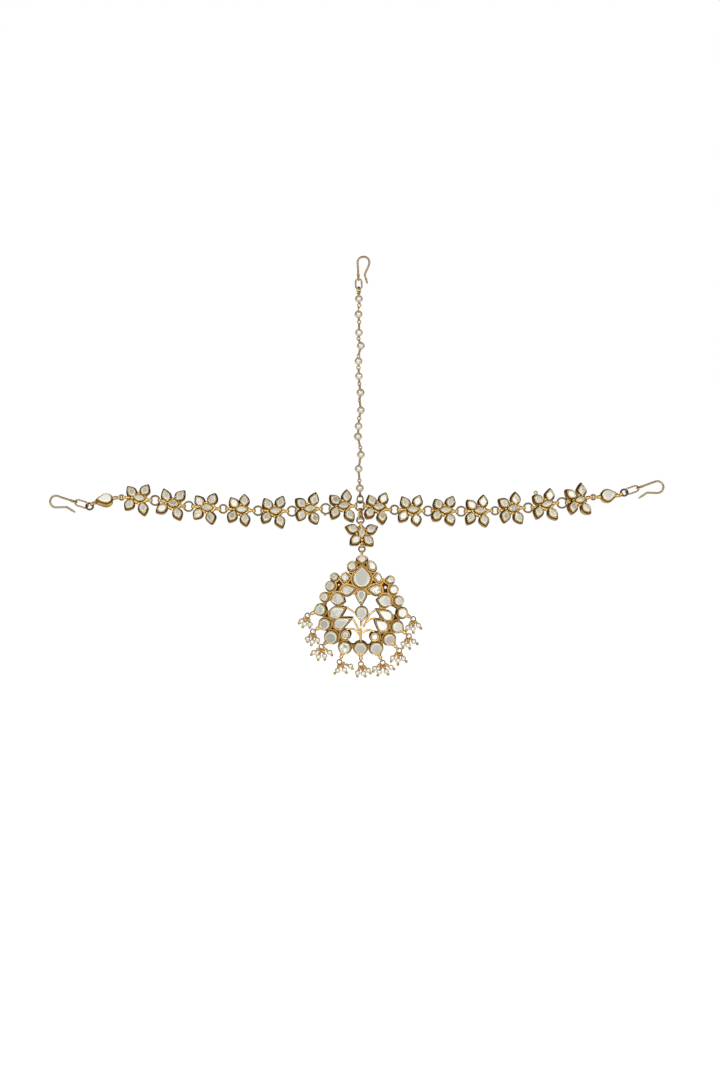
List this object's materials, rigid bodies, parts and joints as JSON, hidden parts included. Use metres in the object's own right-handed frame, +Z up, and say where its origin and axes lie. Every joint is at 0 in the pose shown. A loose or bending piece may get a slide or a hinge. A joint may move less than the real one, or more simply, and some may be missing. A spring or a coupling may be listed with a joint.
{
  "type": "matha patti",
  "caption": "Gold-plated hair band of stone-set flower links between two hooks, with a pearl parting string and a domed stone-set forehead pendant edged with pearl clusters",
  "frame": {"origin": "inside of the bend of the parting hook, where the jewel hangs", "axes": "+X to the right seen from the front, -Y to the front, +Z up"},
  "size_m": [0.3196, 0.0113, 0.219],
  "materials": {
    "gold": "polished gold plate",
    "hook_wire": "polished pale brass wire",
    "dark_wire": "tarnished wire",
    "pearl": "pearl lustre",
    "stone": "flat cut, cloudy"
  },
  "bodies": {
    "band": {"hook_parting": "hook_wire", "hook_left": "hook_wire", "hook_right": "hook_wire", "link_parting": "hook_wire", "top_ring": "gold", "parting_chain": "pearl", "parting_ring": "gold", "link_left": "hook_wire", "link_right": "hook_wire", "jump_left": "dark_wire", "jump_right": "dark_wire", "teardrop_left": "gold", "teardrop_right": "gold", "end_ring_left": "gold", "end_ring_right": "gold", "flower_1": "gold", "flower_2": "gold", "flower_3": "gold", "flower_4": "gold", "flower_5": "gold", "flower_6": "gold", "flower_7": "gold", "flower_8": "gold", "flower_9": "gold", "flower_10": "gold", "flower_11": "gold", "flower_12": "gold", "flower_13": "gold", "flower_14": "gold", "ring_1": "gold", "ring_2": "gold", "ring_3": "gold", "ring_4": "gold", "ring_5": "gold", "ring_6": "gold", "ring_7": "gold", "ring_8": "gold", "ring_9": "gold", "ring_10": "gold", "ring_11": "gold", "ring_12": "gold", "ring_13": "gold", "stones_left": "stone", "stones_right": "stone"},
    "drop": {"drop_bail": "gold", "drop_link": "gold", "drop_flower": "gold", "drop_stones": "stone"},
    "swing_ring": {"pendant_ring": "gold"},
    "pendant": {"pendant_frame": "gold", "pendant_stones": "stone", "cluster_1": "pearl", "cluster_2": "pearl", "cluster_3": "pearl", "cluster_4": "pearl", "cluster_5": "pearl", "cluster_6": "pearl", "cluster_7": "pearl", "cluster_8": "pearl", "cluster_9": "pearl"}
  },
  "joints": [
    {"name": "drop_swing", "type": "hinge", "parent": "band", "child": "drop", "pos_m": [-0.00161, 0, -0.13167], "axis": [1, 0, 0], "range_deg": [-25, 25]},
    {"name": "ring_sway", "type": "hinge", "parent": "drop", "child": "swing_ring", "pos_m": [-0.00083, 0, -0.15002], "axis": [0, 1, 0], "range_deg": [-12, 12]},
    {"name": "pendant_swing", "type": "hinge", "parent": "swing_ring", "child": "pendant", "pos_m": [-0.00083, 0, -0.15314], "axis": [1, 0, 0], "range_deg": [-45, 45]}
  ]
}
